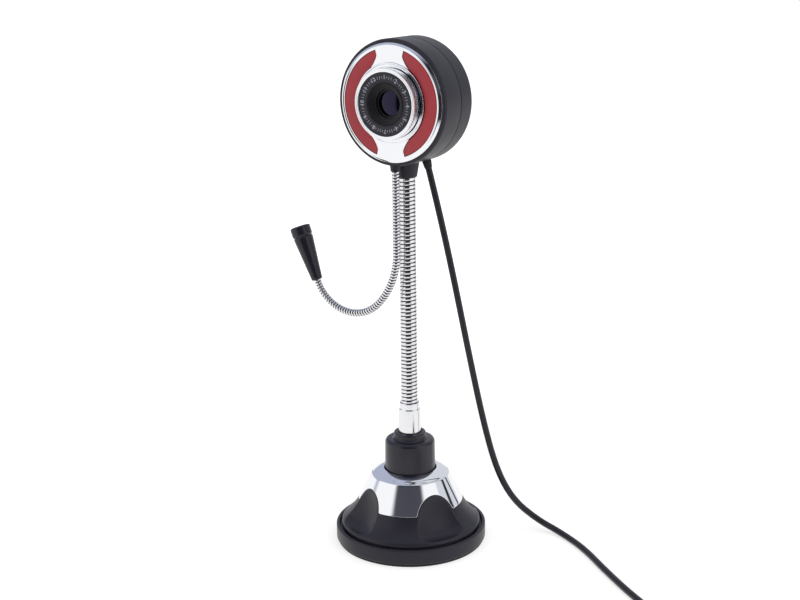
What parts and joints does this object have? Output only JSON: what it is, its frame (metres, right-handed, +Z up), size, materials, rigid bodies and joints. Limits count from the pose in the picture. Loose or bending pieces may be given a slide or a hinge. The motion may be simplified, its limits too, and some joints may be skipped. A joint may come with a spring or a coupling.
{
  "type": "webcam on tripod",
  "caption": "Round webcam head on a bendable metal neck over a twist-grip suction base, with a gooseneck microphone and a USB lead.",
  "frame": {"origin": "centre of the suction cup's underside, on the table", "axes": "+Z up along the neck, the lens looks along -Y, +X to the lens's left"},
  "size_m": [0.2461, 0.1324, 0.2659],
  "materials": {
    "black_plastic": "fine satin, moulded",
    "dark_dial": "satin dark grey",
    "chrome": "bright plated",
    "nickel": "bright nickel, wound",
    "red_plastic": "glossy red",
    "rubber": "soft black",
    "steel": "zinc plated",
    "anodised_black": "black anodised",
    "glass": "clear coated glass",
    "board_green": "solder mask",
    "chip_black": "moulded package",
    "white_nylon": "natural nylon",
    "cable_black": "satin PVC jacket"
  },
  "bodies": {
    "base": {"base_ring": "black_plastic", "suction_cup": "rubber", "usb_cord": "cable_black", "usb_cord_coil": "cable_black", "plug_body": "cable_black", "plug_shell": "steel", "plug_tongue": "white_nylon"},
    "grip": {"twist_grip": "black_plastic", "crown_trim": "chrome"},
    "stem": {"stem_post": "black_plastic", "stem_bush": "black_plastic", "cam_pin": "steel", "cup_stud": "steel", "stud_screw": "steel", "lower_ferrule": "nickel", "ferrule_nut": "steel", "neck_hose_1": "nickel"},
    "neck_low": {"neck_hose_2": "nickel"},
    "neck_mid": {"neck_hose_3": "nickel"},
    "neck_high": {"neck_hose_4": "nickel"},
    "head": {"neck_hose_5": "nickel", "neck_socket": "black_plastic", "neck_nut": "steel", "front_housing": "black_plastic", "rear_cover": "black_plastic", "faceplate": "chrome", "red_insert_left": "red_plastic", "red_insert_right": "red_plastic", "ring_retainer": "steel", "lens_holder": "black_plastic", "ir_filter": "glass", "image_sensor": "chip_black", "circuit_board": "board_green", "bridge_chip": "chip_black", "crystal": "steel", "lead_socket": "white_nylon", "board_screws": "steel", "cover_screws": "steel", "lead_grommet": "rubber", "lead_tail": "cable_black", "mic_clamp": "steel", "mic_hose_1": "nickel"},
    "focus": {"focus_ring": "chrome", "dial_ring": "dark_dial"},
    "lens": {"lens_barrel": "anodised_black", "front_lens": "glass", "rear_lens": "glass"},
    "boom_high": {"mic_hose_2": "nickel"},
    "boom_mid": {"mic_hose_3": "nickel"},
    "boom_low": {"mic_hose_4": "nickel"},
    "microphone": {"mic_hose_5": "nickel", "mic_housing": "black_plastic", "mic_capsule": "steel", "mic_cap": "black_plastic"}
  },
  "joints": [
    {"name": "grip_twist", "type": "hinge", "parent": "base", "child": "grip", "pos_m": [0, 0, 0.02], "axis": [0, 0, 1], "range_deg": [0, 90]},
    {"name": "stem_lift", "type": "slide", "parent": "base", "child": "stem", "axis": [0, 0, 1], "range_m": [0, 0.0025], "deforming": ["usb_cord", "suction_cup"]},
    {"name": "neck_bend_1", "type": "hinge", "parent": "stem", "child": "neck_low", "pos_m": [0, 0, 0.09], "axis": [1, 0, 0], "range_deg": [-30, 30], "deforming": ["usb_cord"]},
    {"name": "neck_bend_2", "type": "hinge", "parent": "neck_low", "child": "neck_mid", "pos_m": [0, 0, 0.121], "axis": [0, 1, 0], "range_deg": [-30, 30], "deforming": ["usb_cord"]},
    {"name": "neck_bend_3", "type": "hinge", "parent": "neck_mid", "child": "neck_high", "pos_m": [0, 0, 0.152], "axis": [1, 0, 0], "range_deg": [-30, 24], "deforming": ["usb_cord"]},
    {"name": "neck_bend_4", "type": "hinge", "parent": "neck_high", "child": "head", "pos_m": [0, 0, 0.183], "axis": [0, 1, 0], "range_deg": [-30, 30], "deforming": ["usb_cord"]},
    {"name": "focus_turn", "type": "hinge", "parent": "head", "child": "focus", "pos_m": [0, -0.015, 0.2346], "axis": [0, -1, 0], "range_deg": [-180, 180]},
    {"name": "focus_feed", "type": "slide", "parent": "focus", "child": "lens", "axis": [0, -1, 0], "range_m": [-0.00025, 0.00025]},
    {"name": "boom_swing", "type": "hinge", "parent": "head", "child": "boom_high", "pos_m": [0, -0.0105, 0.185], "axis": [0, 1, 0], "range_deg": [-20, 20]},
    {"name": "boom_nod", "type": "hinge", "parent": "boom_high", "child": "boom_mid", "pos_m": [0, -0.0105, 0.164], "axis": [1, 0, 0], "range_deg": [-30, 3]},
    {"name": "boom_curl", "type": "hinge", "parent": "boom_mid", "child": "boom_low", "pos_m": [-0.01172, -0.0105, 0.13052], "axis": [0, 1, 0], "range_deg": [-20, 20]},
    {"name": "boom_tip", "type": "hinge", "parent": "boom_low", "child": "microphone", "pos_m": [-0.04848, -0.0105, 0.13503], "axis": [1, 0, 0], "range_deg": [-25, 25]}
  ],
  "couplings": [
    {"joint": "grip_twist", "follows": "stem_lift", "rad_per_m": 628.32},
    {"joint": "focus_turn", "follows": "focus_feed", "rad_per_m": 12566}
  ]
}
